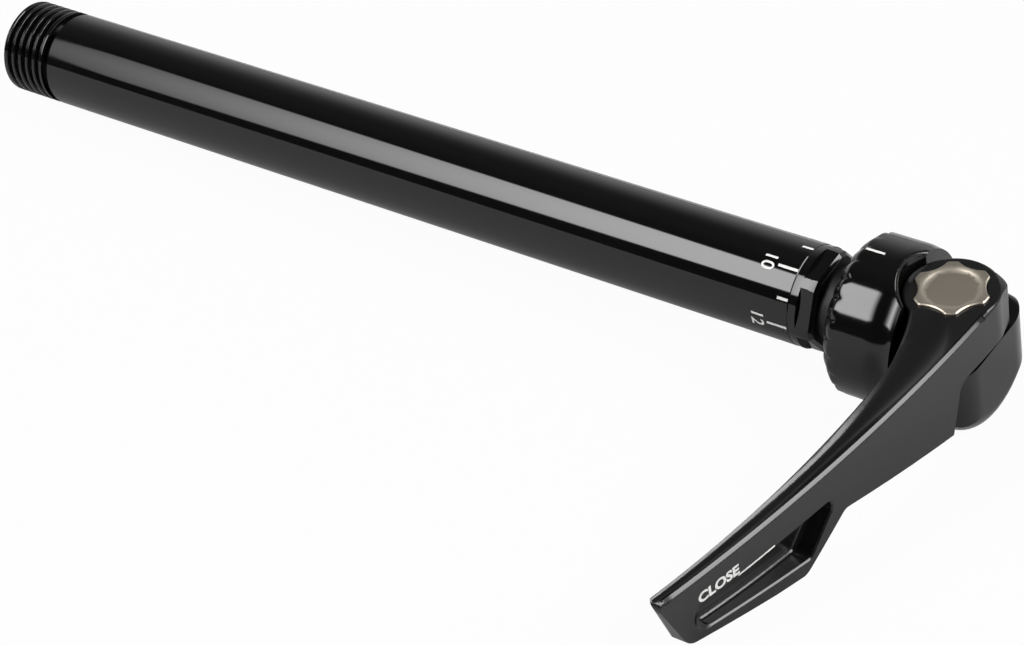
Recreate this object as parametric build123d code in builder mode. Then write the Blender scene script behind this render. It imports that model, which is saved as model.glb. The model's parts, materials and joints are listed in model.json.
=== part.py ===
from build123d import *
import os
from math import radians, sqrt, tan

# A quick-release thru axle for a 15 x 110 mm front hub, in millimetres.
# X runs along the axle from the threaded tip to the lever head, and Z along the lever's pivot.
# The origin is the centre of the head's clamp face, and the closed lever points along -Y.

# Axle tube
axle_dia = 15.0
clamp_length = 158.0
tube_bore = 10.0
thread_length = 9.0
relief_width = 1.3
relief_depth = 0.9
tip_chamfer = 0.8
mouth_chamfer = 0.3

# Index collar, between the tube and the head
collar_dia = 15.0
collar_crown = 0.08
collar_reach = 7.5
band_width = 1.2
flat_length = 2.6
across_flats = 13.7
flat_turn = 5.0
collar_bevel = 0.5
neck_dia = 11.4
neck_depth = 3.4
spigot_flats = 10.5
spigot_length = 11.5
spigot_gap = 0.1
spigot_end_gap = 0.5
seal_section = 1.24
seal_place = 2.0
seal_seat_play = 0.1
seal_bevel = 0.2

# Clamp screw inside the tube
screw_dia = 4.0
screw_head_dia = 7.0
screw_head_height = 4.0
screw_length = 18.0
screw_key = 2.5
screw_key_depth = 2.2
screw_play = 0.1
web_thickness = 4.0
web_hole = 4.5
washer_dia = 8.6
washer_thickness = 0.6

# Head
head_rim_dia = 23.5
head_waist_dia = 22.6
head_end_dia = 23.3
head_length = 21.4
rim_width = 4.5
waist_place = 8.2
lip_place = 11.4
rim_bevel = 1.4
end_round = 3.0
plan_corner = 7.0
serrations = 24
serration_radius = 0.5
serration_depth = 0.36
serration_length = 5.0
serration_turn = 4.5
pocket_floor = 1.6
front_wall = 4.1
back_wall = 6.0
pocket_round = 0.6
floor_round = 1.6
lug_sweep = 11.4
bush_wall = 0.8
bush_inset = 0.3
chamber_depth = 6.2
slide_play = 0.08

# Lever pivot and cam
pivot_x = 15.0
cam_throw = 0.5
cam_dia = 4.4
cam_play = 0.3
journal_dia = 5.5
foot_dia = 3.3
pin_play = 0.05
thrust_thickness = 0.5
thrust_dia = 12.0
ring_thickness = 0.6
ring_dia = 6.4
ring_groove = 0.4
ring_end_gap = 0.1
ring_relief_dia = 4.6
ring_prong = 1.1
ring_edge = 0.3
ring_mouth = 2.2
ring_turn = 90.0
cam_end_gap = 0.1
ring_recess_dia = 8.0
lower_web = 3.3
pin_tail = 1.4

# Draw rod
rod_dia = 7.0
rod_play = 0.1
rod_flange_dia = 9.6
rod_flange = 1.2
tongue_width = 7.8
tongue_top = -0.4
tongue_thickness = 3.6
tongue_wall = 0.9
tongue_gap = 0.3

# Lever
boss_dia = 13.6
boss_gap = 0.3
boss_top = 9.3
lever_lift = 0.3
star_depth = 4.0
star_play = 0.08
blade_sweep = 11.9
sweep_round = 1.9
sweep_flare = 0.29
lever_reach = 68.4
outer_mid = (18.0, -37.0)
outer_end_x = 11.2
inner_neck = (14.95, -22.0)
inner_mid = (13.45, -44.4)
inner_end_x = 8.9
inner_draft = 4.0
neck_mid = (14.1, -13.2)
neck_start = (11.2, -5.0)
lobe_corner = (-43.9, -5.0)
notch_corner = (-35.4, 0.55)
root_corner = (-10.0, -5.55)
tip_nose_round = 1.2
tip_heel_round = 2.5
tip_corner = (1.6, 2.2)
lobe_round = 3.0
notch_round = 1.5
recess_root = ((-36.4, 4.0), (-42.6, -2.7))
recess_round = 1.1
recess_wall = 1.0
recess_fillet = 0.8
recess_edge = 0.2
scoop_radius = 3.8
scoop_depth = 0.95
ridge_round = 0.7
crown_round = 0.45
inner_round = 0.8
# Places near the lever's tip: distance back from the tip, height
heel_from_tip = (4.0, -0.75)
recess_from_tip = ((7.4, 0.0), (5.4, 4.5))
scoop_from_tip = (7.2, 2.3)
# Heel beside the boss and the shoulder above it
heel_corner = (20.95, 5.0)
heel_back = (18.6, 5.77)
heel_round = 1.5
shoulder_mid = (7.3, 8.7)
shoulder_low = (8.1, 6.5)
# Stations of the dish: place along Y, depth, radius
dish_stations = (
    (-5.0, 0.0, 6.0),
    (-13.0, 0.85, 5.73),
    (-25.0, 0.85, 2.68),
    (-45.0, 0.6, 1.41),
    (-62.0, 0.4, 0.93),
    (-70.0, 0.3, 0.93),
)
dish_margin = 0.35
ridge_bite = 0.14

# Star head of the cam pin
star_tip_dia = 11.0
star_valley_dia = 9.2
star_lobes = 6
star_turn = 57.1
star_valley_radius = 4.49
star_tip_round = 0.3
star_rise = 0.42
star_bevel = 0.15
star_dish_top = 8.8
star_dish_floor = 7.0
star_dish_depth = 0.5

axle_r = axle_dia / 2
tip_x = -clamp_length
tube_end = -collar_reach
socket_floor = tube_end - spigot_length - spigot_end_gap
web_back = socket_floor - web_thickness
neck_r = neck_dia / 2
pocket_r = boss_dia / 2 + boss_gap
boss_floor = pocket_floor + thrust_thickness + lever_lift
boss_r = boss_dia / 2
slot_top = tongue_top + tongue_gap
slot_floor = tongue_top - tongue_thickness - tongue_gap
slide_bore = neck_dia + 2 * slide_play
chamber_dia = slide_bore + 2 * bush_wall
flange_back = neck_depth + rod_flange
eye_x = pivot_x + cam_throw
eye_width = cam_dia + 2 * cam_play
tongue_end = eye_x + eye_width / 2 + tongue_wall
lower_seat = slot_floor - lower_web
upper_bore = journal_dia + 2 * pin_play
lower_bore = foot_dia + 2 * pin_play
tip_heel = (heel_from_tip[0] - lever_reach, heel_from_tip[1])
recess_corners = (*recess_root, *[(y - lever_reach, z) for y, z in recess_from_tip])
scoop_place = (scoop_from_tip[0] - lever_reach, scoop_from_tip[1])
pivot = Location((pivot_x, 0, 0))
pivot_axis = Axis((pivot_x, 0, 0), (0, 0, 1))

os.makedirs("parts", exist_ok=True)


def star_outline(play):
    """Six-lobed star about the pivot: a disc with round valleys cut between its lobes."""
    valley_place = star_valley_dia / 2 + star_valley_radius
    with BuildSketch(Plane(pivot)) as star:
        Circle(star_tip_dia / 2 + play)
        with PolarLocations(valley_place, star_lobes, start_angle=star_turn + 180 / star_lobes):
            Circle(star_valley_radius - play, mode=Mode.SUBTRACT)
        fillet(star.vertices(), star_tip_round)
    return star.sketch


def swept_disc(radius, top, edge):
    """Disc about the pivot, rounded at its top edge and flared below, from under the head up to top."""
    low = -head_rim_dia
    foot = radius + sweep_flare * (top - edge - low)
    with BuildPart() as disc:
        with BuildSketch(Plane.XZ.move(pivot)):
            with BuildLine():
                Polyline((0, top), (0, low), (foot, low), (radius, top - edge))
                RadiusArc((radius, top - edge), (radius - edge, top), -edge)
                Line((radius - edge, top), (0, top))
            make_face()
        revolve(axis=pivot_axis)
    return disc.part


def tongue_outline(start, end, width):
    """Flat tongue in plan along X, straight-sided, with a half-round outer end."""
    with BuildSketch() as tongue:
        with BuildLine():
            lower = Line((start, -width / 2), (end - width / 2, -width / 2))
            nose = ThreePointArc(lower @ 1, (end, 0), (end - width / 2, width / 2))
            Polyline(nose @ 1, (start, width / 2), lower @ 0)
        make_face()
    return tongue.sketch


def arc_x(points, y):
    """X at the height y on the +X side of the circle through three points."""
    (x1, y1), (x2, y2), (x3, y3) = points
    twice = 2 * (x1 * (y2 - y3) + x2 * (y3 - y1) + x3 * (y1 - y2))
    s1, s2, s3 = x1**2 + y1**2, x2**2 + y2**2, x3**2 + y3**2
    cx = (s1 * (y2 - y3) + s2 * (y3 - y1) + s3 * (y1 - y2)) / twice
    cy = (s1 * (x3 - x2) + s2 * (x1 - x3) + s3 * (x2 - x1)) / twice
    return cx + sqrt((x1 - cx) ** 2 + (y1 - cy) ** 2 - (y - cy) ** 2)


# Axle tube: thread zone with its relief groove, bore from the tip, web for the clamp screw
with BuildPart() as axle_tube:
    with BuildSketch(Plane.XZ):
        with BuildLine():
            relief_x = tip_x + thread_length + relief_width
            Polyline(
                (tip_x, 0),
                (tip_x, axle_r - tip_chamfer),
                (tip_x + tip_chamfer, axle_r),
                (tip_x + thread_length, axle_r),
                (tip_x + thread_length, axle_r - relief_depth),
                (relief_x - relief_depth / 2, axle_r - relief_depth),
                (relief_x, axle_r),
                (tube_end - mouth_chamfer / 2, axle_r),
                (tube_end, axle_r - mouth_chamfer / 2),
                (tube_end, 0),
                close=True,
            )
        make_face()
    revolve(axis=Axis.X)
    with BuildSketch(Plane.YZ.offset(tip_x)):
        Circle(tube_bore / 2)
    extrude(amount=web_back - tip_x, mode=Mode.SUBTRACT)
    with BuildSketch(Plane.YZ.offset(web_back)):
        Circle(web_hole / 2)
    extrude(amount=web_thickness, mode=Mode.SUBTRACT)
    # Twelve-point socket: the six-sided spigot fits it every 30 degrees
    with BuildSketch(Plane.YZ.offset(socket_floor)):
        for turn in (0, 30):
            RegularPolygon(spigot_flats / 2 + spigot_gap, 6, major_radius=False, rotation=flat_turn + turn)
    extrude(amount=tube_end - socket_floor, mode=Mode.SUBTRACT)
    mouth = axle_tube.edges().filter_by(GeomType.CIRCLE).group_by(Axis.X)[0].sort_by(SortBy.RADIUS)[0]
    chamfer(mouth, mouth_chamfer)
axle_tube.part.label = "axle_tube"
export_step(axle_tube.part, "parts/axle_tube.step")

# Index collar: six-sided spigot, visible band with six milled flats, sliding neck with a seal groove
with BuildPart() as index_collar:
    with BuildSketch(Plane.YZ.offset(tube_end - spigot_length)):
        RegularPolygon(spigot_flats / 2, 6, major_radius=False, rotation=flat_turn)
    extrude(amount=spigot_length)
    with BuildSketch(Plane.XZ):
        with BuildLine():
            shoulder_x = tube_end + band_width + flat_length
            edge_r = collar_dia / 2 - collar_crown
            middle = ((tube_end + shoulder_x) / 2, collar_dia / 2)
            crown = ThreePointArc((tube_end, edge_r), middle, (shoulder_x, edge_r))
            Polyline(crown @ 1, (shoulder_x, 0), (tube_end, 0), crown @ 0)
        make_face()
    revolve(axis=Axis.X)
    with BuildSketch(Plane.YZ.offset(tube_end + band_width)):
        Circle(collar_dia)
        RegularPolygon(across_flats / 2, 6, major_radius=False, rotation=flat_turn, mode=Mode.SUBTRACT)
    extrude(amount=flat_length, mode=Mode.SUBTRACT)
    bevel_edges = index_collar.faces().sort_by(Axis.X)[-1].outer_wire().edges()
    chamfer(bevel_edges, collar_bevel)
    with BuildSketch(Plane.YZ.offset(tube_end)):
        Circle(neck_r)
    extrude(amount=collar_reach + neck_depth)
    seal_seat = seal_section + seal_seat_play
    with BuildSketch(Plane.YZ.offset(seal_place - seal_seat / 2)):
        Circle(neck_r + slide_play)
        Circle(neck_r - seal_section, mode=Mode.SUBTRACT)
    extrude(amount=seal_seat, mode=Mode.SUBTRACT)
    with BuildSketch(Plane.YZ.offset(tube_end - spigot_length)):
        Circle((rod_dia + rod_play) / 2)
    extrude(amount=spigot_length + collar_reach + neck_depth, mode=Mode.SUBTRACT)
index_collar.part.label = "index_collar"
export_step(index_collar.part, "parts/index_collar.step")

# Collar seal: square-cut ring in the neck's groove
with BuildPart() as collar_seal:
    with BuildSketch(Plane.YZ.offset(seal_place - seal_section / 2)):
        Circle(neck_r)
        Circle(neck_r - seal_section, mode=Mode.SUBTRACT)
    extrude(amount=seal_section)
    chamfer(collar_seal.edges().filter_by(GeomType.CIRCLE).group_by(SortBy.RADIUS)[-1], seal_bevel)
collar_seal.part.label = "collar_seal"
export_step(collar_seal.part, "parts/collar_seal.step")

# Draw rod: tapped shank, flange seated on the collar's neck, flat tongue with the cam's eye
with BuildPart() as draw_rod:
    rod_start = tube_end - spigot_length + spigot_end_gap
    with BuildSketch(Plane.YZ.offset(rod_start)):
        Circle(rod_dia / 2)
    extrude(amount=neck_depth - rod_start)
    with BuildSketch(Plane.YZ.offset(neck_depth)):
        Circle(rod_flange_dia / 2)
    extrude(amount=rod_flange)
    with BuildSketch(Plane.XY.offset(tongue_top)):
        add(tongue_outline(flange_back, tongue_end, tongue_width))
        with Locations((eye_x, 0)):
            SlotCenterToCenter(2 * cam_throw, eye_width, rotation=90, mode=Mode.SUBTRACT)
    extrude(amount=-tongue_thickness)
    with BuildSketch(Plane.YZ.offset(rod_start)):
        Circle((screw_dia + screw_play) / 2)
    extrude(amount=screw_length - web_thickness, mode=Mode.SUBTRACT)
draw_rod.part.label = "draw_rod"
export_step(draw_rod.part, "parts/draw_rod.step")

# Washer and clamp screw, seated on the web inside the tube
with BuildPart() as screw_washer:
    with BuildSketch(Plane.YZ.offset(web_back - washer_thickness)):
        Circle(washer_dia / 2)
        Circle(web_hole / 2, mode=Mode.SUBTRACT)
    extrude(amount=washer_thickness)
screw_washer.part.label = "screw_washer"
export_step(screw_washer.part, "parts/screw_washer.step")

with BuildPart() as clamp_screw:
    head_seat = web_back - washer_thickness
    with BuildSketch(Plane.YZ.offset(head_seat)):
        Circle(screw_head_dia / 2)
    extrude(amount=-screw_head_height)
    with BuildSketch(Plane.YZ.offset(head_seat)):
        Circle(screw_dia / 2)
    extrude(amount=screw_length)
    with BuildSketch(Plane.YZ.offset(head_seat - screw_head_height)):
        RegularPolygon(screw_key / 2, 6, major_radius=False)
    extrude(amount=screw_key_depth, mode=Mode.SUBTRACT)
clamp_screw.part.label = "clamp_screw"
export_step(clamp_screw.part, "parts/clamp_screw.step")

# Space that the lever turns in: all beyond the pocket's wall, but for the lug under the lever
with BuildPart() as lever_space:
    for wall, side in ((front_wall, Align.MAX), (back_wall, Align.MIN)):
        with Locations((pivot_x - wall, 0, 0)):
            Box(head_length, head_rim_dia, 2 * head_rim_dia, align=(Align.MIN, side, Align.CENTER))
    add(swept_disc(lug_sweep, pocket_floor, floor_round), mode=Mode.SUBTRACT)

# Cam housing: turned head, rounded in plan at its outer end, with the lever's pocket on top
with BuildPart() as cam_housing:
    rim_r = head_rim_dia / 2
    waist_r = head_waist_dia / 2
    end_r = head_end_dia / 2
    with BuildSketch(Plane.XZ):
        with BuildLine():
            rim = Polyline((0, 0), (0, rim_r - rim_bevel), (rim_bevel, rim_r), (rim_width, rim_r))
            round_start = (head_length - end_round, end_r)
            lip = (lip_place, end_r)
            Spline(rim @ 1, (waist_place, waist_r), lip, tangents=((1, 0), (1, 0)))
            Line(lip, round_start)
            end = RadiusArc(round_start, (head_length, end_r - end_round), end_round)
            Polyline(end @ 1, (head_length, 0), (0, 0))
        make_face()
    revolve(axis=Axis.X)
    with BuildSketch(Plane.XY):
        with Locations((head_length / 2, 0)):
            plan = Rectangle(head_length, head_rim_dia)
        fillet(plan.vertices().group_by(Axis.X)[-1], plan_corner)
    extrude(amount=head_rim_dia, both=True, mode=Mode.INTERSECT)
    add(lever_space.part, mode=Mode.SUBTRACT)
    with BuildSketch(Plane.XY.offset(pocket_floor)):
        with Locations((pivot_x, 0)):
            Circle(pocket_r)
    extrude(amount=head_rim_dia, mode=Mode.SUBTRACT)
    round_walls = cam_housing.faces().filter_by(GeomType.CYLINDER)
    pocket_walls = round_walls.filter_by(lambda wall: wall.radius == pocket_r)
    fillet(pocket_walls.edges().sort_by(Axis.Z)[-2:], pocket_round)
    # Scalloped rim: round notches laid along the bevel of the clamp face
    notch_lift = (serration_radius - serration_depth) / sqrt(2)
    notch_middle = Pos(rim_bevel / 2 - notch_lift, 0, rim_r - rim_bevel / 2 + notch_lift)
    notch_place = notch_middle * Rotation(0, 45, 0)
    turns = [serration_turn + 360 / serrations * k for k in range(serrations)]
    with Locations(*[Rotation(turn, 0, 0) * notch_place for turn in turns]):
        Cylinder(serration_radius, serration_length, mode=Mode.SUBTRACT)
    # Chamber for the slide bush, slot for the draw rod's tongue, bores for the cam pin
    with BuildSketch(Plane.YZ):
        Circle(chamber_dia / 2)
    extrude(amount=chamber_depth, mode=Mode.SUBTRACT)
    with BuildSketch(Plane.XY.offset(slot_top)):
        add(tongue_outline(0, tongue_end + tongue_gap, tongue_width + 2 * tongue_gap))
    extrude(amount=slot_floor - slot_top, mode=Mode.SUBTRACT)
    with BuildSketch(Plane.XY.offset(pocket_floor).move(pivot)):
        Circle(upper_bore / 2 + bush_wall)
    extrude(amount=slot_top - pocket_floor, mode=Mode.SUBTRACT)
    with BuildSketch(Plane.XY.offset(slot_floor).move(pivot)):
        Circle(lower_bore / 2 + bush_wall)
    extrude(amount=-lower_web, mode=Mode.SUBTRACT)
    with BuildSketch(Plane.XY.offset(lower_seat).move(pivot)):
        Circle(ring_recess_dia / 2)
    extrude(amount=-head_rim_dia, mode=Mode.SUBTRACT)
cam_housing.part.label = "cam_housing"
export_step(cam_housing.part, "parts/cam_housing.step")

# Bushes: the sleeve that the head slides on, and the cam pin's upper and lower bearings
with BuildPart() as slide_bush:
    with BuildSketch(Plane.YZ.offset(bush_inset)):
        Circle(chamber_dia / 2)
        Circle(slide_bore / 2, mode=Mode.SUBTRACT)
    extrude(amount=chamber_depth - bush_inset)
slide_bush.part.label = "slide_bush"
export_step(slide_bush.part, "parts/slide_bush.step")

with BuildPart() as upper_bush:
    with BuildSketch(Plane.XY.offset(slot_top).move(pivot)):
        Circle(upper_bore / 2 + bush_wall)
    extrude(amount=pocket_floor - slot_top)
    with BuildSketch(Plane.XY.offset(pocket_floor).move(pivot)):
        Circle(thrust_dia / 2)
    extrude(amount=thrust_thickness)
    with BuildSketch(Plane.XY.offset(slot_top).move(pivot)):
        Circle(upper_bore / 2)
    extrude(amount=pocket_floor + thrust_thickness - slot_top, mode=Mode.SUBTRACT)
upper_bush.part.label = "upper_bush"
export_step(upper_bush.part, "parts/upper_bush.step")

with BuildPart() as lower_bush:
    with BuildSketch(Plane.XY.offset(lower_seat).move(pivot)):
        Circle(lower_bore / 2 + bush_wall)
        Circle(lower_bore / 2, mode=Mode.SUBTRACT)
    extrude(amount=lower_web)
lower_bush.part.label = "lower_bush"
export_step(lower_bush.part, "parts/lower_bush.step")

# Heel: the lever's outer face carried on past the pivot, its top rounded off to meet the boss
with BuildPart() as heel:
    with BuildSketch(Plane.XY.offset(boss_floor)) as heel_plan:
        with BuildLine():
            Polyline((pivot_x, 0), (pivot_x + boss_r, 0), heel_corner, heel_back, close=True)
        make_face()
        fillet(heel_plan.vertices().sort_by_distance((*heel_corner, boss_floor))[0], heel_round)
    extrude(amount=boss_top - boss_floor)
    with BuildSketch(Plane.XZ.move(pivot)):
        with BuildLine():
            shoulder = ThreePointArc((boss_r - crown_round, boss_top), shoulder_mid, shoulder_low)
            foot = (shoulder_low[0], boss_floor)
            Polyline(shoulder @ 1, foot, (0, boss_floor), (0, boss_top), shoulder @ 0)
        make_face()
    revolve(axis=pivot_axis, mode=Mode.INTERSECT)

# Space of the recess in the lever's outer face: its floor follows the blade's inner wall
outer_points = ((pivot_x + boss_r, 0), outer_mid, (outer_end_x, -lever_reach))
inner_points = (inner_neck, inner_mid, (inner_end_x, -lever_reach))
neck_points = (neck_start, neck_mid, inner_neck)
blade_low = root_corner[1]
blade_height = boss_top - blade_low
draft = (-tan(radians(inner_draft)), 0, -1)
with BuildPart() as recess:
    with BuildSketch(Plane.YZ) as recess_view:
        with BuildLine():
            Polyline(*recess_corners, close=True)
        make_face()
        fillet(recess_view.vertices(), recess_round)
    extrude(amount=head_length + boss_dia)
    with BuildSketch(Plane.XY.offset(boss_top)):
        with BuildLine():
            floor_arc = ThreePointArc(*[(x + recess_wall, y) for x, y in inner_points])
            far_x = 2 * head_length
            Polyline(floor_arc @ 1, (far_x, -lever_reach), (far_x, inner_neck[1]), floor_arc @ 0)
        make_face()
    extrude(amount=2 * blade_height, dir=draft, mode=Mode.INTERSECT)
    fillet(recess.faces().sort_by(Axis.X)[0].edges(), recess_fillet)

# Lever: curved blade under a round boss, dished on top, with a long recess near its tip
with BuildPart() as lever:
    with BuildSketch(Plane.XY.offset(blade_low)):
        with BuildLine():
            outer = ThreePointArc(*outer_points)
            Polyline(outer @ 1, (0, -lever_reach), (0, 0), outer @ 0)
        make_face()
    extrude(amount=blade_height)
    # Inner wall, drafted so that the blade is thicker towards its lower edge
    with BuildSketch(Plane.XY.offset(boss_top)):
        with BuildLine():
            neck = ThreePointArc(*neck_points)
            inner = ThreePointArc(*inner_points)
            Polyline(inner @ 1, (-boss_dia, -lever_reach), (-boss_dia, 0), (neck_start[0], 0), neck @ 0)
        make_face()
    extrude(amount=2 * blade_height, dir=draft, mode=Mode.SUBTRACT)
    # Soft inner edge and a firmer ridge along the top
    top_edges = lever.faces().sort_by(Axis.Z)[-1].edges().filter_by(GeomType.CIRCLE).sort_by(Axis.X)
    fillet(top_edges[:-1], inner_round)
    ridge = lever.faces().sort_by(Axis.Z)[-1].edges().filter_by(GeomType.CIRCLE).sort_by(Axis.X)[-1]
    fillet(ridge, ridge_round)
    # Inner corner of the tip, rounded along the slanted end
    tip_slant = (lever_reach + tip_heel[0]) / (boss_top - tip_heel[1])
    with BuildSketch(Plane.XY.offset(boss_top)):
        with BuildLine():
            bend_y = tip_corner[1] - lever_reach
            bend = (arc_x(inner_points, bend_y), bend_y)
            tip = TangentArc(bend, (bend[0] + tip_corner[0], -lever_reach), tangent=inner % 1)
            Polyline(tip @ 1, (0, -lever_reach), (0, bend_y), bend)
        make_face()
    extrude(amount=2 * blade_height, dir=(draft[0], tip_slant, -1), mode=Mode.SUBTRACT)
    # Side outline: slanted tip, finger lobe and notch along the lower edge
    with BuildSketch(Plane.YZ) as side_view:
        with BuildLine():
            Polyline(
                (0, boss_top),
                (-lever_reach, boss_top),
                tip_heel,
                lobe_corner,
                notch_corner,
                root_corner,
                (0, blade_low),
                close=True,
            )
        make_face()
        rounds = (
            ((-lever_reach, boss_top), tip_nose_round),
            (tip_heel, tip_heel_round),
            (lobe_corner, lobe_round),
            (notch_corner, notch_round),
        )
        for corner, radius in rounds:
            fillet(side_view.vertices().sort_by_distance((*corner, 0))[0], radius)
    extrude(amount=head_length + boss_dia, mode=Mode.INTERSECT)
    add(swept_disc(blade_sweep, boss_floor, sweep_round), mode=Mode.SUBTRACT)
    # Boss with a rounded top edge, and the heel
    with BuildSketch(Plane.XZ.move(pivot)):
        with BuildLine():
            corner = (boss_r, boss_top - crown_round)
            crown = RadiusArc(corner, (boss_r - crown_round, boss_top), -crown_round)
            Polyline(crown @ 1, (0, boss_top), (0, boss_floor), (boss_r, boss_floor), corner)
        make_face()
    revolve(axis=pivot_axis)
    add(heel.part)
    # Dish along the top, from a shallow start beside the star to the tip
    for y, depth, radius in dish_stations:
        edge_points = neck_points if y > inner_neck[1] else inner_points
        ridge_x = arc_x(outer_points, y) - ridge_round + ridge_bite
        dish_x = (ridge_x + arc_x(edge_points, y) + dish_margin) / 2
        with BuildSketch(Plane.XZ.offset(-y)):
            with Locations((dish_x, boss_top - depth + radius)):
                Circle(radius)
    loft(mode=Mode.SUBTRACT)
    add(recess.part, mode=Mode.SUBTRACT)
    outer_face = lever.faces().filter_by(GeomType.CYLINDER).sort_by(SortBy.AREA)[-1]
    chamfer(outer_face.inner_wires()[0].edges(), recess_edge)
    scoop_x = arc_x(outer_points, scoop_place[0]) + scoop_radius - scoop_depth
    with Locations((scoop_x, *scoop_place)):
        Sphere(scoop_radius, mode=Mode.SUBTRACT)
    # Star socket and pin hole through the boss
    with BuildSketch(Plane.XY.offset(boss_top)):
        add(star_outline(star_play))
    extrude(amount=-star_depth, mode=Mode.SUBTRACT)
    with BuildSketch(Plane.XY.offset(boss_floor).move(pivot)):
        Circle(upper_bore / 2)
    extrude(amount=boss_top - boss_floor, mode=Mode.SUBTRACT)
lever.part.label = "lever"
export_step(lever.part, "parts/lever.step")

# Cam pin: star head, upper journal, eccentric in the draw rod's eye, foot with a ring groove
with BuildPart() as cam_pin:
    star_floor = boss_top - star_depth
    with BuildSketch(Plane.XY.offset(star_floor)):
        add(star_outline(0))
    extrude(amount=star_depth + star_rise)
    top_edges = cam_pin.faces().sort_by(Axis.Z)[-1].outer_wire().edges()
    chamfer(top_edges, star_bevel)
    with BuildSketch(Plane.XY.offset(boss_top + star_rise).move(pivot)):
        Circle(star_dish_top / 2)
    with BuildSketch(Plane.XY.offset(boss_top + star_rise - star_dish_depth).move(pivot)):
        Circle(star_dish_floor / 2)
    loft(mode=Mode.SUBTRACT)
    with BuildSketch(Plane.XY.offset(slot_top).move(pivot)):
        Circle(journal_dia / 2)
    extrude(amount=star_floor - slot_top)
    cam_foot = slot_floor + cam_end_gap
    with BuildSketch(Plane.XY.offset(cam_foot)):
        with Locations((eye_x, 0)):
            Circle(cam_dia / 2)
    extrude(amount=slot_top - cam_foot)
    ring_top = lower_seat - ring_end_gap
    pin_foot = ring_top - ring_thickness - pin_tail
    with BuildSketch(Plane.XY.offset(pin_foot).move(pivot)):
        Circle(foot_dia / 2)
    extrude(amount=cam_foot - pin_foot)
    with BuildSketch(Plane.XY.offset(ring_top).move(pivot)):
        Circle(foot_dia)
        Circle(foot_dia / 2 - ring_groove, mode=Mode.SUBTRACT)
    extrude(amount=-ring_thickness, mode=Mode.SUBTRACT)
cam_pin.part.label = "cam_pin"
export_step(cam_pin.part, "parts/cam_pin.step")

# Retaining ring: open E-shaped ring snapped into the pin's groove
with BuildPart() as retaining_ring:
    with BuildSketch(Plane.XY.offset(ring_top).move(pivot)):
        Circle(ring_dia / 2)
        Circle(ring_relief_dia / 2, mode=Mode.SUBTRACT)
        with PolarLocations(0, 3, start_angle=ring_turn):
            Rectangle(ring_dia / 2 - ring_edge, ring_prong, align=(Align.MIN, Align.CENTER))
        Circle(foot_dia / 2 - ring_groove, mode=Mode.SUBTRACT)
        with Locations(Rotation(0, 0, ring_turn + 180)):
            Rectangle(ring_dia, ring_mouth, align=(Align.MIN, Align.CENTER), mode=Mode.SUBTRACT)
    extrude(amount=-ring_thickness)
retaining_ring.part.label = "retaining_ring"
export_step(retaining_ring.part, "parts/retaining_ring.step")
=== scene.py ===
import json
import math
from functools import partial

import bmesh
import bpy
import numpy as np
from mathutils import Matrix, Vector


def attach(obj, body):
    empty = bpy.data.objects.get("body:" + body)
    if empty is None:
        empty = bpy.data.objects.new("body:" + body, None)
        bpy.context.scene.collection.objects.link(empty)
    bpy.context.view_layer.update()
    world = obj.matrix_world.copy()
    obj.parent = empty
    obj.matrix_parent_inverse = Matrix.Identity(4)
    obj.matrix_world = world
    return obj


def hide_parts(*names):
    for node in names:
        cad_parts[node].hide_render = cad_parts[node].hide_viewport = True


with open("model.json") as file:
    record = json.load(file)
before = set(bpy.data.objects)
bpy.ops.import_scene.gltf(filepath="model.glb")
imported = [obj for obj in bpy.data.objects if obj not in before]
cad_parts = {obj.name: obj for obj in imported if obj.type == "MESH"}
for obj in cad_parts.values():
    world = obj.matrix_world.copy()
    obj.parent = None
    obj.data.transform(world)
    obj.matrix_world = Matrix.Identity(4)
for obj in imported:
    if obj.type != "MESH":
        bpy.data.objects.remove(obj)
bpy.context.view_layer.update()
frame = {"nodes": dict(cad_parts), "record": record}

MM = 0.001

# Camera of the photograph: turn, height and roll in radians, focal length in pixels, place in mm
PHOTO_WIDTH = 1024
CAMERA_AZIMUTH = 0.73464
CAMERA_ELEVATION = 0.69932
CAMERA_ROLL = -0.1939
CAMERA_FOCAL_PX = 3116.03
CAMERA_PLACE = (-48.733, -1.716, 435.231)
SENSOR_WIDTH = 36.0

# Axle and thread, in millimetres
AXLE_RADIUS = 7.5
TIP_X = -158.0
TIP_CHAMFER = 0.8
THREAD_END = -149.0
THREAD_PITCH = 1.5
THREAD_DEPTH = 0.82
THREAD_FLATNESS = 0.75
THREAD_FADE = 0.9

# Head's rim and waist, in millimetres. A waist has its start, middle and lip along X, its depth
# and the lip's rise. The lobes' turn is in degrees.
HEAD_RIM_RADIUS = 11.75
HEAD_RIM_X = 1.4
RIM_BEVEL_POWER = 1.8
CLAMP_FACE_RADIUS = 6.58
RIM_END = 4.5
LOBES = 24
LOBE_TURN = 10.5
LOBE_DEPTH = 0.45
LOBE_FULLNESS = 0.96
LOBE_REACH = (1.0, 2.3)
SOLID_WAIST = ((4.5, 8.2, 11.4), 0.45, 0.35)
TRUE_WAIST = ((6.8, 9.9, 11.4), 0.34, 0.24)
TURNED_SLACK = 0.05
SET_UNDER = 0.004
RIM_OVERLAP = 0.1
FACE_MARGIN = 0.1

# Lever, in millimetres. The ridge's section is the offset from the outer face and the height from
# the top. Its faces look out and up by at least the two shares.
PIVOT_X = 15.0
LEVER_ARC = ((21.8, 0.0), (18.0, -37.0), (11.2, -68.4))
LEVER_TOP = 9.3
RIDGE_ROUND = 0.7
RIDGE_SPAN = (-3.0, -66.9)
RIDGE_SECTION = ((0.012, -1.1), (0.012, -0.47), (-0.44, 0.006), (-0.62, 0.0), (-0.8, -0.5))
RIDGE_SOFT = 0.085
RIDGE_SINK = 0.12
RIDGE_SINK_REACH = 1.5
RIDGE_OVERLAP = 0.6
RIDGE_FACING = (0.05, 0.03)
LOWEST_LEVER_POINT = (14.5, -43.9, -4.6)

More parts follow.
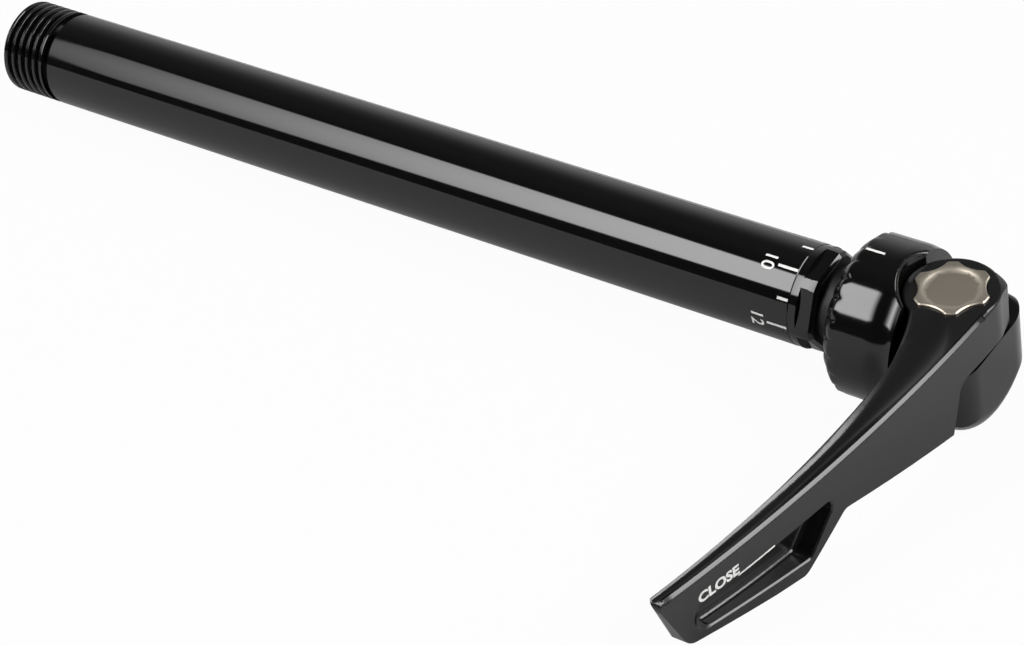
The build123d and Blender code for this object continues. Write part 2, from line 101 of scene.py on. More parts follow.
# Collar beside the tube, in millimetres
COLLAR_SPAN = (-7.5, -3.7)
COLLAR_CROWN = 0.08
NECK_X = -3.75
NECK_BLEND = 0.05
NECK_ROUGHNESS = 0.55

# Printed marks, in millimetres and degrees: a scale on the tube, a tick on the head's rim and a word
# on the lever. The letters' weights are in the font's own units.
PRINT_LIFT = 0.02
SCALE_MARKS = range(12, 3, -1)
SCALE_TWELVE = 182.0
SCALE_STEP = -33.9
LONG_TICK = (-10.87, -7.68)
SHORT_TICK = (-9.45, -7.68)
TICK_WIDTH = 0.42
NUMBER_SIZE = 2.05
NUMBER_X = -13.4
NUMBER_WEIGHT = 0.012
RIM_TICK = (1.75, 4.7)
RIM_TICK_ANGLE = 89.0
WORD = "CLOSE"
WORD_SPAN = (-61.9, -54.9)
WORD_BASE = 4.75
WORD_HEIGHT = 1.75
WORD_WEIGHT = 0.04
LEADER = ((-55.2, 4.55), (-48.6, 4.55))
LEADER_WIDTH = 0.3

# Stage: the sheet's tone and its share of plain white where it is seen or mirrored, the light cards,
# and the room's glow over the height and the depth of a direction
GROUND_SIZE = 3.0
GROUND_TONE = 0.55
GROUND_SEEN_WHITE = 0.96
GROUND_MIRRORED_WHITE = 0.1
CARD_STRENGTH = 9.5
CARD_DIM_SHARE = 0.15
CARD_RISE_START = -0.05
ROOM_HEIGHTS, ROOM_HEIGHT_GLOW = (0.1, 0.75), (0.6, 0.08)
ROOM_DEPTHS, ROOM_DEPTH_SHARES = (-0.35, 0.35), (0.05, 1.0)


def srgb(r, g, b):
    """Linear colour of an sRGB triple from 0 to 255."""
    c = np.array([r, g, b]) / 255.0
    linear = np.where(c <= 0.04045, c / 12.92, ((c + 0.055) / 1.055) ** 2.4)
    return (*linear.tolist(), 1.0)


def ease(value, start, end):
    """Smooth step from 0 at the start to 1 at the end, with level ends."""
    t = np.clip((value - start) / (end - start), 0, 1)
    return t * t * (3 - 2 * t)


def grid_mesh(name, points, closed_u=False):
    """Mesh of a grid of points, rows along v and columns along u, joined round in u where closed."""
    rows, columns, _ = points.shape
    index = np.arange(rows * columns).reshape(rows, columns)
    right = np.roll(index, -1, axis=1) if closed_u else index[:, 1:]
    left = index if closed_u else index[:, :-1]
    faces = np.stack([left[:-1], right[:-1], right[1:], left[1:]], axis=-1).reshape(-1, 4)
    mesh = bpy.data.meshes.new(name)
    mesh.from_pydata(points.reshape(-1, 3).tolist(), [], faces.tolist())
    mesh.update()
    return mesh


def new_object(name, mesh, material, body):
    """Object at the origin that rides on a body and wears the finish it is given."""
    mesh.materials.clear()
    mesh.materials.append(material)
    piece = bpy.data.objects.new(name, mesh)
    bpy.context.scene.collection.objects.link(piece)
    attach(piece, body)
    return piece


# Finishes

def node_group(name, inputs, outputs):
    """Empty shader group with named float inputs and named outputs."""
    group = bpy.data.node_groups.new(name, "ShaderNodeTree")
    for label, value in inputs:
        socket = group.interface.new_socket(label, in_out="INPUT", socket_type="NodeSocketFloat")
        socket.default_value = value
    for label, kind in outputs:
        group.interface.new_socket(label, in_out="OUTPUT", socket_type=kind)
    return group, group.nodes.new("NodeGroupInput"), group.nodes.new("NodeGroupOutput")


def math_node(tree, operation, first, second):
    """Math node of two values, each a socket or a number, and its output."""
    node = tree.nodes.new("ShaderNodeMath")
    node.operation = operation
    for socket, value in zip(node.inputs, (first, second)):
        if isinstance(value, (int, float)):
            socket.default_value = value
        else:
            tree.links.new(value, socket)
    return node.outputs[0]


def smooth_range(tree, value, source, target):
    """Smooth step of a value from a source range to a target range, and its output."""
    node = tree.nodes.new("ShaderNodeMapRange")
    node.interpolation_type = "SMOOTHSTEP"
    limits = dict(zip(("From Min", "From Max", "To Min", "To Max"), (*source, *target)))
    for label, limit in limits.items():
        node.inputs[label].default_value = limit
    tree.links.new(value, node.inputs["Value"])
    return node.outputs["Result"]


def handled_finish():
    """Group for a polished surface: soft patches of roughness from slow noise, grain from fine noise."""
    inputs = (("Patch size", 60.0), ("Grain size", 4000.0), ("Roughness", 0.1), ("Spread", 0.04))
    outputs = [(label, "NodeSocketFloat") for label in ("Roughness", "Patch", "Grain")]
    group, enter, leave = node_group("handled_finish", inputs, outputs)
    place = group.nodes.new("ShaderNodeTexCoord")
    patch = group.nodes.new("ShaderNodeTexNoise")
    patch.inputs["Detail"].default_value = 3.0
    grain = group.nodes.new("ShaderNodeTexNoise")
    grain.inputs["Detail"].default_value = 1.0
    for noise, label in ((patch, "Patch size"), (grain, "Grain size")):
        group.links.new(place.outputs["Object"], noise.inputs["Vector"])
        group.links.new(enter.outputs[label], noise.inputs["Scale"])
    centred = math_node(group, "SUBTRACT", patch.outputs["Fac"], 0.5)
    swing = math_node(group, "MULTIPLY", centred, enter.outputs["Spread"])
    rough = math_node(group, "ADD", swing, enter.outputs["Roughness"])
    group.links.new(rough, leave.inputs["Roughness"])
    group.links.new(patch.outputs["Fac"], leave.inputs["Patch"])
    group.links.new(grain.outputs["Fac"], leave.inputs["Grain"])
    return group


def turned_rings():
    """Group for lathe marks: thin rings about a line, from noise of the place along it or across it."""
    inputs = (("Along", 1.0), ("Across", 0.0), ("Density", 6000.0), ("Centre", 0.0))
    group, enter, leave = node_group("turned_rings", inputs, (("Height", "NodeSocketFloat"),))
    place = group.nodes.new("ShaderNodeTexCoord")
    split = group.nodes.new("ShaderNodeSeparateXYZ")
    group.links.new(place.outputs["Object"], split.inputs[0])
    from_centre = math_node(group, "SUBTRACT", split.outputs["X"], enter.outputs["Centre"])
    squared = math_node(group, "MULTIPLY", from_centre, from_centre)
    side = math_node(group, "MULTIPLY", split.outputs["Y"], split.outputs["Y"])
    distance = math_node(group, "SQRT", math_node(group, "ADD", squared, side), 0.0)
    along = math_node(group, "MULTIPLY", split.outputs["X"], enter.outputs["Along"])
    across = math_node(group, "MULTIPLY", distance, enter.outputs["Across"])
    place_on_line = math_node(group, "ADD", along, across)
    phase = math_node(group, "MULTIPLY", place_on_line, enter.outputs["Density"])
    noise = group.nodes.new("ShaderNodeTexNoise")
    noise.noise_dimensions = "1D"
    noise.inputs["Scale"].default_value = 1.0
    group.links.new(phase, noise.inputs["W"])
    group.links.new(noise.outputs["Fac"], leave.inputs["Height"])
    return group


HANDLED = handled_finish()
TURNED = turned_rings()


def finish_material(name, dark, light, roughness, spread, metallic=0.0, grain=0.02, rings=None):
    """Principled finish: colour and roughness by the patches, with grain or lathe rings as bump."""
    material = bpy.data.materials.new(name)
    material.use_nodes = True
    tree = material.node_tree
    shader = tree.nodes["Principled BSDF"]
    shader.inputs["Metallic"].default_value = metallic
    handled = tree.nodes.new("ShaderNodeGroup")
    handled.node_tree = HANDLED
    handled.inputs["Roughness"].default_value = roughness
    handled.inputs["Spread"].default_value = spread
    tone = tree.nodes.new("ShaderNodeMix")
    tone.data_type = "RGBA"
    tone.inputs["A"].default_value = dark
    tone.inputs["B"].default_value = light
    tree.links.new(handled.outputs["Patch"], tone.inputs["Factor"])
    tree.links.new(tone.outputs["Result"], shader.inputs["Base Color"])
    tree.links.new(handled.outputs["Roughness"], shader.inputs["Roughness"])
    bump = tree.nodes.new("ShaderNodeBump")
    bump.inputs["Strength"].default_value = grain
    bump.inputs["Distance"].default_value = 0.01 * MM
    height = handled.outputs["Grain"]
    if rings:
        turned = tree.nodes.new("ShaderNodeGroup")
        turned.node_tree = TURNED
        for label, value in rings.items():
            turned.inputs[label].default_value = value
        height = turned.outputs["Height"]
    tree.links.new(height, bump.inputs["Height"])
    tree.links.new(bump.outputs["Normal"], shader.inputs["Normal"])
    return material


GLOSS_BLACKS = srgb(9, 9, 9), srgb(13, 12, 12)
STEEL_GREYS = srgb(140, 140, 142), srgb(160, 160, 162)
TUBE_BLACK = finish_material("tube_black", *GLOSS_BLACKS, 0.07, 0.05, rings={"Density": 9000.0})
COLLAR_BLACK = finish_material("collar_black", *GLOSS_BLACKS, 0.07, 0.05)
HEAD_BLACK = finish_material("head_black", *GLOSS_BLACKS, 0.08, 0.05)
LEVER_BLACK = finish_material("lever_black", srgb(19, 18, 18), srgb(24, 23, 23), 0.2, 0.06)
PIN_STEEL = finish_material(
    "pin_steel", srgb(186, 177, 163), srgb(200, 191, 177), 0.46, 0.06, metallic=1.0, grain=0.15,
    rings={"Along": 0.0, "Across": 1.0, "Density": 12000.0, "Centre": PIVOT_X * MM},
)
TURNED_STEEL = finish_material("turned_steel", *STEEL_GREYS, 0.32, 0.08, metallic=1.0)
BUSH_POLYMER = finish_material("bush_polymer", srgb(84, 76, 66), srgb(98, 90, 80), 0.5, 0.1)
SEAL_RUBBER = finish_material("seal_rubber", srgb(20, 20, 20), srgb(28, 28, 28), 0.6, 0.1)
PRINT_WHITE = finish_material("print_white", srgb(222, 222, 220), srgb(236, 236, 234), 0.45, 0.1)


def matte_beyond(material, x, roughness):
    """Makes a finish matte past a place along X, as on the collar's sliding neck."""
    tree = material.node_tree
    place = tree.nodes.new("ShaderNodeTexCoord")
    split = tree.nodes.new("ShaderNodeSeparateXYZ")
    tree.links.new(place.outputs["Object"], split.inputs[0])
    blend = ((x - NECK_BLEND) * MM, (x + NECK_BLEND) * MM)
    beyond = smooth_range(tree, split.outputs["X"], blend, (0.0, roughness))
    rough = tree.nodes["Principled BSDF"].inputs["Roughness"]
    tree.links.new(math_node(tree, "MAXIMUM", rough.links[0].from_socket, beyond), rough)


matte_beyond(COLLAR_BLACK, NECK_X, NECK_ROUGHNESS)

NODE_FINISH = {
    "gloss_tube": TUBE_BLACK,
    "gloss_head": HEAD_BLACK,
    "black_lever": LEVER_BLACK,
    "pin_steel": PIN_STEEL,
    "turned_steel": TURNED_STEEL,
    "bush_polymer": BUSH_POLYMER,
    "seal_rubber": SEAL_RUBBER,
}
NODE_SLOT = {part["node"]: part["material_slot"] for part in frame["record"]["subparts"]}
BODIES = frame["record"]["behaviour"]["bodies"]
NODE_BODY = {node: body for body, nodes in BODIES.items() for node in nodes}
for node, part in frame["nodes"].items():
    part.data.materials.clear()
    part.data.materials.append(NODE_FINISH[NODE_SLOT[node]])


# Pieces that stand for the visible solids, with joined faces and soft edges

SHARP_ANGLE = math.radians(32)
MERGE_DISTANCE = 0.0005 * MM
OUTWARD_COSINE = 0.95
# Shares of the solid's radius: points below the first stay, and the carry grows between the other two
CARRIED_FROM = 0.8
CARRIED_SHARES = (0.85, 0.97)


def joined_copy(node):
    """Copy of a node's mesh with its loose triangles joined, smooth but for its sharp edges."""
    mesh = frame["nodes"][node].data.copy()
    work = bmesh.new()
    work.from_mesh(mesh)
    bmesh.ops.remove_doubles(work, verts=work.verts, dist=MERGE_DISTANCE)
    for face in work.faces:
        face.smooth = True
    for edge in work.edges:
        edge.smooth = edge.is_manifold and edge.calc_face_angle(0.0) < SHARP_ANGLE
    return mesh, work


def finish_copy(node, mesh, work, material=None):
    """Piece that stands for a node, with normals led by its large faces."""
    work.to_mesh(mesh)
    work.free()
    mesh.name = node + "_skin"
    finish = material or NODE_FINISH[NODE_SLOT[node]]
    piece = new_object(mesh.name, mesh, finish, NODE_BODY[node])
    weighted = piece.modifiers.new("normals", "WEIGHTED_NORMAL")
    weighted.keep_sharp = True
    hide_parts(node)
    return piece


def set_in(work, mesh):
    """Adds a smooth surface to the mesh that is being worked on."""
    first = len(work.faces)
    work.from_mesh(mesh)
    work.faces.ensure_lookup_table()
    for face in work.faces[first:]:
        face.smooth = True


def turn_true(work, faces, solid_radius, radius, cuts):
    """Cuts turned faces finer and carries the outside from the solid's radius at x to the true one."""
    span = [vert.co.x / MM for face in faces for vert in face.verts]
    start, end = min(span), max(span)
    edges = list({edge for face in faces for edge in face.edges})
    bmesh.ops.subdivide_edges(work, edges=edges, cuts=cuts, use_grid_fill=True)
    for vert in work.verts:
        x, distance = vert.co.x / MM, math.hypot(vert.co.y, vert.co.z) / MM
        if not start <= x <= end or distance < CARRIED_FROM * solid_radius(x):
            continue
        target = radius(x)
        if abs(distance - solid_radius(x)) > TURNED_SLACK:
            share = ease(distance / solid_radius(x), *CARRIED_SHARES)
            target = distance + share * (radius(x) - solid_radius(x))
        vert.co.yz = vert.co.yz * (target / distance)


def faces_near(work, low, high, inner, outer):
    """Outward faces whose middles lie between two places along X and two radii, in millimetres."""
    chosen = []
    for face in work.faces:
        middle = face.calc_center_median() / MM
        distance = math.hypot(middle.y, middle.z)
        facing = (face.normal.y * middle.y + face.normal.z * middle.z) / distance
        if low < middle.x < high and inner < distance < outer and facing > OUTWARD_COSINE:
            chosen.append(face)
    return chosen


def collar_radius(x):
    """Radius of the crowned collar: the tube's radius less a parabola, deepest at both ends."""
    start, end = COLLAR_SPAN
    place = (2 * x - start - end) / (end - start)
    return AXLE_RADIUS - COLLAR_CROWN * place * place


def collar_skin():
    """Collar with its crowned lands turned true."""
    mesh, work = joined_copy("index_collar")
    lands = faces_near(work, *COLLAR_SPAN, AXLE_RADIUS - 1.5 * COLLAR_CROWN, AXLE_RADIUS + COLLAR_CROWN)
    turn_true(work, lands, collar_radius, collar_radius, cuts=3)
    return finish_copy("index_collar", mesh, work, COLLAR_BLACK)


def side_radius(x, waist):
    """Radius of the head's turned side: the rim's, a soft step less at the waist, one more at the lip."""
    (start, middle, lip), depth, rise = waist
    return HEAD_RIM_RADIUS - depth * ease(x, start, middle) + rise * ease(x, middle, lip)


def scalloped_rim(steps=20):
    """Rim of the head: face, rounded bevel and side turned about X; each lobe falls off as an arc."""
    phi = np.linspace(0, np.pi / 2, 15)
    face_r = np.linspace(CLAMP_FACE_RADIUS, HEAD_RIM_RADIUS - HEAD_RIM_X, 6)[:-1]
    side_x = np.linspace(HEAD_RIM_X, RIM_END + RIM_OVERLAP, 9)[1:]
    x = np.concatenate([0 * face_r, HEAD_RIM_X * (1 - np.cos(phi) ** RIM_BEVEL_POWER), side_x])
    bevel_r = HEAD_RIM_RADIUS - HEAD_RIM_X * (1 - np.sin(phi) ** RIM_BEVEL_POWER)
    r = np.concatenate([face_r, bevel_r, np.full_like(side_x, HEAD_RIM_RADIUS)]) - SET_UNDER
    share = ease(r, face_r[-2], bevel_r[0]) * (1 - ease(x, *LOBE_REACH))
    turn = np.linspace(0, 360, LOBES * steps, endpoint=False)
    across = 2 * ((turn - LOBE_TURN) * LOBES / 360 % 1) - 1
    arch = 1 - np.sqrt(1 - (LOBE_FULLNESS * across) ** 2)
    drop = LOBE_DEPTH * arch / (1 - np.sqrt(1 - LOBE_FULLNESS**2))
    radius = r[:, None] - share[:, None] * drop
    a = np.radians(turn)
    along = np.broadcast_to(x[:, None], radius.shape)
    points = np.stack([along, radius * np.cos(a), radius * np.sin(a)], -1)
    return grid_mesh("rim", points * MM, closed_u=True)


def head_skin():
    """Head with its scalloped rim set in and its side turned true."""
    mesh, work = joined_copy("cam_housing")
    (_, _, lip), depth, _ = SOLID_WAIST
    low, high = HEAD_RIM_RADIUS - depth - TURNED_SLACK, HEAD_RIM_RADIUS + TURNED_SLACK
    side = faces_near(work, RIM_END, lip, low, high)
    solid_radius = partial(side_radius, waist=SOLID_WAIST)
    true_radius = partial(side_radius, waist=TRUE_WAIST)
    turn_true(work, side, solid_radius, true_radius, cuts=2)
    rim = []
    for face in work.faces:
        middle = face.calc_center_median() / MM
        if middle.x < RIM_END and math.hypot(middle.y, middle.z) > CLAMP_FACE_RADIUS + FACE_MARGIN:
            rim.append(face)
    bmesh.ops.delete(work, geom=rim, context="FACES")
    set_in(work, scalloped_rim())
    return finish_copy("cam_housing", mesh, work)


def lever_face(y):
    """X of the lever's outer face at y: the circle through the arc's three plan points."""
    (x1, y1), (x2, y2), (x3, y3) = LEVER_ARC
    twice = 2 * (x1 * (y2 - y3) + x2 * (y3 - y1) + x3 * (y1 - y2))
    s1, s2, s3 = x1**2 + y1**2, x2**2 + y2**2, x3**2 + y3**2
    cx = (s1 * (y2 - y3) + s2 * (y3 - y1) + s3 * (y1 - y2)) / twice
    cy = (s1 * (x3 - x2) + s2 * (x1 - x3) + s3 * (x2 - x1)) / twice
    return cx + np.sqrt((x1 - cx) ** 2 + (y1 - cy) ** 2 - (y - cy) ** 2)


def soft_corners(corners, reach, steps=6):
    """Line through corners, each inner one rounded by a parabola that starts and ends near it."""
    line = [corners[0]]
    s = np.linspace(0, 1, steps)[:, None]
    for before, corner, after in zip(corners, corners[1:], corners[2:]):
        start = corner + reach * (before - corner) / np.linalg.norm(before - corner)
        end = corner + reach * (after - corner) / np.linalg.norm(after - corner)
        line.extend((1 - s) ** 2 * start + 2 * s * (1 - s) * corner + s * s * end)
    line.append(corners[-1])
    return np.array(line)


def ridge_surface(steps=140):
    """Ridge along the lever's top: a soft-edged bevel as section, carried along the outer face's arc."""
    start, end = RIDGE_SPAN
    first, last = start + RIDGE_OVERLAP, end - RIDGE_OVERLAP
    y = np.linspace(first, last, steps)
    slope = np.gradient(lever_face(y), y)
    normal = np.stack([np.ones_like(y), -slope], -1) / np.sqrt(1 + slope**2)[:, None]
    section = soft_corners(np.array(RIDGE_SECTION), RIDGE_SOFT)
    ends = ease(y, start - RIDGE_SINK_REACH, first) + ease(-y, -end - RIDGE_SINK_REACH, -last)
    sink = RIDGE_SINK * ends
    offset = section[None, :, 0] - sink[:, None]
    height = LEVER_TOP + section[None, :, 1] - sink[:, None]
    x = lever_face(y)[:, None] + offset * normal[:, :1]
    place = y[:, None] + offset * normal[:, 1:]
    return grid_mesh("ridge", np.stack([x, place, height], -1) * MM)


def lever_skin():
    """Lever with the facets of its top ridge taken out and the ridge's own surface set in."""
    mesh, work = joined_copy("lever")
    for place in RIDGE_SPAN:
        geometry = work.verts[:] + work.edges[:] + work.faces[:]
        bmesh.ops.bisect_plane(work, geom=geometry, plane_co=(0, place * MM, 0), plane_no=(0, 1, 0))
    ridge = []
    for face in work.faces:
        middle = face.calc_center_median() / MM
        inward = float(lever_face(middle.y)) - middle.x
        in_span = RIDGE_SPAN[1] < middle.y < RIDGE_SPAN[0]
        in_section = inward < RIDGE_ROUND and middle.z > LEVER_TOP - RIDGE_ROUND
        outwards = face.normal.x > RIDGE_FACING[0] and face.normal.z > RIDGE_FACING[1]
        if in_span and in_section and outwards:
            ridge.append(face)
    bmesh.ops.delete(work, geom=ridge, context="FACES")
    set_in(work, ridge_surface())
    return finish_copy("lever", mesh, work)


collar_skin()
head_skin()
lever_skin()
finish_copy("cam_pin", *joined_copy("cam_pin"))


def thread_surface(steps_round=192, steps_along=220):
    """Screw thread on a cylinder: its depth is a cut-off cosine of the pitch phase, faded at the ends."""
    turn = np.linspace(0, 2 * np.pi, steps_round, endpoint=False)
    along = np.linspace(TIP_X + TIP_CHAMFER, THREAD_END, steps_along)
    u, x = np.meshgrid(turn, along)
    phase = 2 * np.pi * (x / THREAD_PITCH) - u
    wave = np.clip(0.5 - THREAD_FLATNESS * np.cos(phase), 0, 1)
    edge = np.minimum(x - along[0], along[-1] - x)
    radius = AXLE_RADIUS - THREAD_DEPTH * wave * ease(edge, 0, THREAD_FADE)
    points = np.stack([x, radius * np.cos(u), radius * np.sin(u)], axis=-1) * MM
    return grid_mesh("thread", points, closed_u=True)


def threaded_tube():
    """Tube with its plain wall at the thread taken out and the thread's surface set in its place."""
    mesh, work = joined_copy("axle_tube")
    low, high = (TIP_X + TIP_CHAMFER / 2) * MM, (THREAD_END - THREAD_PITCH / 4) * MM
    wall = [
        face for face in work.faces
        if low < face.calc_center_median().x < high
        and math.hypot(*face.calc_center_median().yz) > (AXLE_RADIUS - TIP_CHAMFER / 4) * MM
    ]
    bmesh.ops.delete(work, geom=wall, context="FACES")
    set_in(work, thread_surface())
    return finish_copy("axle_tube", mesh, work)


threaded_tube()


# Printed marks

def on_tube(x, angle, radius):
    """Points round the axle's axis at a place along it, an angle in degrees and a radius, in metres."""
    a = np.radians(angle)
    return np.stack([x, radius * np.cos(a), radius * np.sin(a)], axis=-1) * MM


def ring_tick(name, span, angle, radius, body, width=TICK_WIDTH, rows=9):
    """Narrow stripe along the axle, bent round the axis: straight in x, constant radius across."""
    half = math.degrees(width / 2 / radius)
    x, a = np.meshgrid(np.array(span), np.linspace(angle - half, angle + half, rows))
    mesh = grid_mesh(name, on_tube(x, a, np.full_like(x, radius + PRINT_LIFT))[:, ::-1])
    return new_object(name, mesh, PRINT_WHITE, body)


def text_points(text, height, width=None, weight=0.0, step=0.25):
    """Flat letters as a mesh cut into narrow bands both ways, scaled to a height and perhaps a width."""
    curve = bpy.data.curves.new("letters", "FONT")
    curve.body = text
    curve.offset = weight
    curve.resolution_u = 6
    holder = bpy.data.objects.new("letters", curve)
    bpy.context.scene.collection.objects.link(holder)
    bpy.context.view_layer.update()
    depsgraph = bpy.context.evaluated_depsgraph_get()
    mesh = bpy.data.meshes.new_from_object(holder.evaluated_get(depsgraph))
    bpy.data.objects.remove(holder)
    bpy.data.curves.remove(curve)
    flat = np.zeros(len(mesh.vertices) * 3)
    mesh.vertices.foreach_get("co", flat)
    flat = flat.reshape(-1, 3)
    low, high = flat.min(0), flat.max(0)
    scale = np.full(3, height / (high - low)[1])
    if width:
        scale[0] = width / (high - low)[0]
    flat = (flat - low) * scale
    mesh.vertices.foreach_set("co", flat.ravel())
    work = bmesh.new()
    work.from_mesh(mesh)
    bmesh.ops.remove_doubles(work, verts=work.verts, dist=1e-5)
    for axis in (0, 1):
        normal = Vector((1, 0, 0)) if axis == 0 else Vector((0, 1, 0))
        for place in np.arange(step, flat[:, axis].max(), step):
            geometry = work.verts[:] + work.edges[:] + work.faces[:]
            bmesh.ops.bisect_plane(work, geom=geometry, plane_co=normal * place, plane_no=normal)
    work.to_mesh(mesh)
    work.free()
    flat = np.zeros(len(mesh.vertices) * 3)
    mesh.vertices.foreach_get("co", flat)
    return mesh, flat.reshape(-1, 3)


def place_points(mesh, points):
    """Writes new vertex places into a mesh."""
    mesh.vertices.foreach_set("co", points.astype(np.float32).ravel())
    mesh.update()


def scale_number(number, angle):
    """Number printed on the tube: it reads round the tube, and the digits' tops point at the head."""
    mesh, flat = text_points(str(number), NUMBER_SIZE, weight=NUMBER_WEIGHT)
    middle = flat[:, 0].max() / 2
    turn = angle + np.degrees((flat[:, 0] - middle) / AXLE_RADIUS)
    radius = np.full(len(flat), AXLE_RADIUS + PRINT_LIFT)
    place_points(mesh, on_tube(NUMBER_X + flat[:, 1], turn, radius))
    mesh.name = f"scale_number_{number}"
    return new_object(mesh.name, mesh, PRINT_WHITE, "axle")


for step, mark in enumerate(SCALE_MARKS):
    angle = SCALE_TWELVE + SCALE_STEP * step
    span = SHORT_TICK if mark % 2 else LONG_TICK
    ring_tick(f"scale_tick_{mark}", span, angle, AXLE_RADIUS, "axle")
    if mark % 2 == 0:
        scale_number(mark, angle)
ring_tick("rim_tick", RIM_TICK, RIM_TICK_ANGLE, HEAD_RIM_RADIUS, "head")


def lever_word():
    """Word on the lever's outer face: letters run along the face towards the head, upright along Z."""
    mesh, flat = text_points(WORD, WORD_HEIGHT, WORD_SPAN[1] - WORD_SPAN[0], weight=WORD_WEIGHT)
    y = WORD_SPAN[0] + flat[:, 0]
    points = np.stack([lever_face(y) + PRINT_LIFT, y, WORD_BASE + flat[:, 1]], axis=-1) * MM
    place_points(mesh, points)
    mesh.name = "lever_word"
    return new_object(mesh.name, mesh, PRINT_WHITE, "lever")


def lever_leader(steps=24):
    """Thin line on the lever's outer face beside the word, between two places in Y and Z."""
    (y0, z0), (y1, z1) = LEADER
    t, side = np.meshgrid(np.linspace(0, 1, steps), np.array([-0.5, 0.5]))
    y = y0 + (y1 - y0) * t
    z = z0 + (z1 - z0) * t + LEADER_WIDTH * side
    mesh = grid_mesh("lever_leader", np.stack([lever_face(y) + PRINT_LIFT, y, z], axis=-1) * MM)
    return new_object("lever_leader", mesh, PRINT_WHITE, "lever")


lever_word()
lever_leader()


# Stage: white ground under the lying axle, two soft light cards and a dim room

def ground_plane():
    """Height of the ground, a x + b y + c: it touches the tip, the head's rim and the lever."""
    a = (AXLE_RADIUS - HEAD_RIM_RADIUS) / (HEAD_RIM_X - TIP_X)
    c = -HEAD_RIM_RADIUS - a * HEAD_RIM_X
    x, y, z = LOWEST_LEVER_POINT
    b = (z - c - a * x) / y
    lean = math.sqrt(1 + b * b)
    c = -HEAD_RIM_RADIUS * lean - a * HEAD_RIM_X
    return a, b, c


def white_when_seen(tree, camera_share, mirrored_share):
    """Factor for a mix with plain white: one share for camera rays, one for mirrored or refracted ones."""
    path = tree.nodes.new("ShaderNodeLightPath")
    glossy, through = path.outputs["Is Glossy Ray"], path.outputs["Is Transmission Ray"]
    mirrored = math_node(tree, "MAXIMUM", glossy, through)
    mirrored = math_node(tree, "MULTIPLY", mirrored, mirrored_share)
    seen = math_node(tree, "MULTIPLY", path.outputs["Is Camera Ray"], camera_share)
    return math_node(tree, "MAXIMUM", seen, mirrored)


def ground():
    """Large white sheet under the axle."""
    a, b, c = ground_plane()
    side = np.array([-GROUND_SIZE, GROUND_SIZE])
    x, y = np.meshgrid(side, side)
    mesh = grid_mesh("ground", np.stack([x, y, a * x + b * y + c * MM], axis=-1))
    material = bpy.data.materials.new("ground_white")
    material.use_nodes = True
    tree = material.node_tree
    paper = tree.nodes["Principled BSDF"]
    paper.inputs["Base Color"].default_value = (GROUND_TONE, GROUND_TONE, GROUND_TONE, 1)
    paper.inputs["Roughness"].default_value = 0.9
    paper.inputs["Specular IOR Level"].default_value = 0.0
    glow = tree.nodes.new("ShaderNodeEmission")
    glow.inputs["Strength"].default_value = 1.0
    mix = tree.nodes.new("ShaderNodeMixShader")
    white = white_when_seen(tree, GROUND_SEEN_WHITE, GROUND_MIRRORED_WHITE)
    tree.links.new(white, mix.inputs["Fac"])
    tree.links.new(paper.outputs[0], mix.inputs[1])
    tree.links.new(glow.outputs[0], mix.inputs[2])
    tree.links.new(mix.outputs[0], tree.nodes["Material Output"].inputs["Surface"])
    mesh.materials.append(material)
    sheet = bpy.data.objects.new("ground", mesh)
    bpy.context.scene.collection.objects.link(sheet)


def light_card(name, centre, width_axis, width, length, fade, end_fall, side_fall):
    """Glowing rectangle that faces the origin: its glow rises along its length and falls at the edges."""
    centre = np.array(centre)
    facing = -centre / np.linalg.norm(centre)
    across = np.array(width_axis) - facing * np.dot(width_axis, facing)
    across /= np.linalg.norm(across)
    along = np.cross(across, facing)
    if along[0] < 0:
        across, along = -across, -along
    u, v = np.meshgrid(np.array([-0.5, 0.5]) * length, np.array([-0.5, 0.5]) * width)
    points = centre + u[..., None] * along + v[..., None] * across
    mesh = grid_mesh(name, points)
    mesh.uv_layers.new(name="card")
    uv = np.array([[0, 0], [1, 0], [1, 1], [0, 1]], np.float32)
    mesh.uv_layers["card"].data.foreach_set("uv", uv.ravel())
    material = bpy.data.materials.new(name)
    material.use_nodes = True
    tree = material.node_tree
    tree.nodes.remove(tree.nodes["Principled BSDF"])
    glow = tree.nodes.new("ShaderNodeEmission")
    place = tree.nodes.new("ShaderNodeUVMap")
    place.uv_map = "card"
    split = tree.nodes.new("ShaderNodeSeparateXYZ")
    tree.links.new(place.outputs[0], split.inputs[0])
    dim = CARD_DIM_SHARE * CARD_STRENGTH
    rise = smooth_range(tree, split.outputs["X"], (CARD_RISE_START, fade), (dim, CARD_STRENGTH))
    fall = smooth_range(tree, split.outputs["X"], (1.0 - end_fall, 1.0), (1.0, 0.0))
    middle = math_node(tree, "ABSOLUTE", math_node(tree, "SUBTRACT", split.outputs["Y"], 0.5), 0.0)
    side = smooth_range(tree, middle, (0.5 - side_fall, 0.5), (1.0, 0.0))
    shape = math_node(tree, "MULTIPLY", fall, side)
    tree.links.new(math_node(tree, "MULTIPLY", rise, shape), glow.inputs["Strength"])
    tree.links.new(glow.outputs[0], tree.nodes["Material Output"].inputs["Surface"])
    mesh.materials.append(material)
    card = bpy.data.objects.new(name, mesh)
    bpy.context.scene.collection.objects.link(card)
    card.visible_camera = False
    card.visible_shadow = False


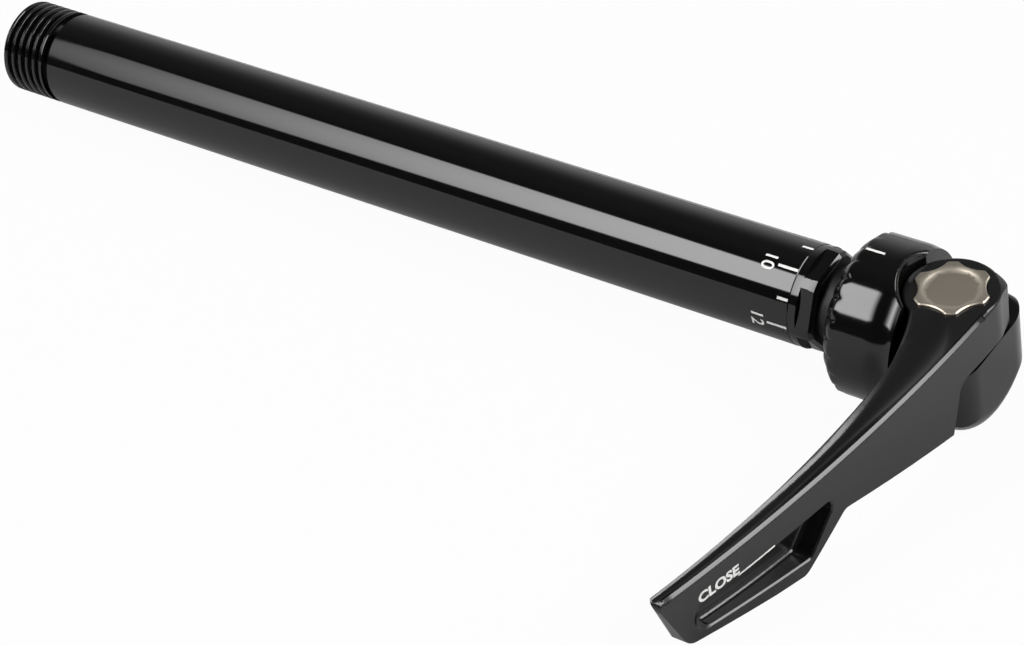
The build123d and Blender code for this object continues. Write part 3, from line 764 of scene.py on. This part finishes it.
def room():
    """Dim room: brighter towards +Y near the horizon, dark overhead and in front, white where seen."""
    world = bpy.data.worlds.new("room")
    bpy.context.scene.world = world
    world.use_nodes = True
    tree = world.node_tree
    back = tree.nodes["Background"]
    place = tree.nodes.new("ShaderNodeTexCoord")
    split = tree.nodes.new("ShaderNodeSeparateXYZ")
    tree.links.new(place.outputs["Generated"], split.inputs[0])
    height = smooth_range(tree, split.outputs["Z"], ROOM_HEIGHTS, ROOM_HEIGHT_GLOW)
    depth = smooth_range(tree, split.outputs["Y"], ROOM_DEPTHS, ROOM_DEPTH_SHARES)
    tree.links.new(math_node(tree, "MULTIPLY", height, depth), back.inputs["Strength"])
    white = tree.nodes.new("ShaderNodeBackground")
    path = tree.nodes.new("ShaderNodeLightPath")
    mix = tree.nodes.new("ShaderNodeMixShader")
    tree.links.new(path.outputs["Is Camera Ray"], mix.inputs["Fac"])
    tree.links.new(back.outputs[0], mix.inputs[1])
    tree.links.new(white.outputs[0], mix.inputs[2])
    tree.links.new(mix.outputs[0], tree.nodes["World Output"].inputs["Surface"])
    back.inputs["Color"].default_value = (1, 1, 1, 1)
    white.inputs["Color"].default_value = (1, 1, 1, 1)
    white.inputs["Strength"].default_value = 1.0


ground()
light_card(
    "left_card", centre=(-0.363, -0.366, 0.543), width_axis=(0, -0.829, -0.559),
    width=0.574, length=0.56, fade=0.54, end_fall=0.42, side_fall=0.08,
)
light_card(
    "right_card", centre=(0.62, 0.25, 0.51), width_axis=(0, 1, 0),
    width=0.6, length=0.5, fade=0.1, end_fall=0.1, side_fall=0.12,
)
room()


# Camera

def photo_camera():
    """Camera with the photograph's place: back and up axes from its turn, height and roll."""
    az, el, roll = CAMERA_AZIMUTH, CAMERA_ELEVATION, CAMERA_ROLL
    back = Vector((math.sin(az) * math.cos(el), -math.cos(az) * math.cos(el), math.sin(el)))
    level = Vector((math.cos(az), math.sin(az), 0))
    upright = back.cross(level)
    right = math.cos(roll) * level + math.sin(roll) * upright
    up = -math.sin(roll) * level + math.cos(roll) * upright
    x, y, z = CAMERA_PLACE
    data = bpy.data.cameras.new("photo_camera")
    data.sensor_width = SENSOR_WIDTH
    data.sensor_fit = "HORIZONTAL"
    data.lens = CAMERA_FOCAL_PX / PHOTO_WIDTH * SENSOR_WIDTH
    data.clip_start, data.clip_end = 0.01, 20.0
    camera = bpy.data.objects.new("photo_camera", data)
    bpy.context.scene.collection.objects.link(camera)
    turn = Matrix((right, up, back)).transposed().to_4x4()
    camera.matrix_world = Matrix.Translation((right * x + up * y + back * z) * MM) @ turn
    bpy.context.scene.camera = camera


photo_camera()
bpy.context.scene.view_settings.view_transform = "Standard"
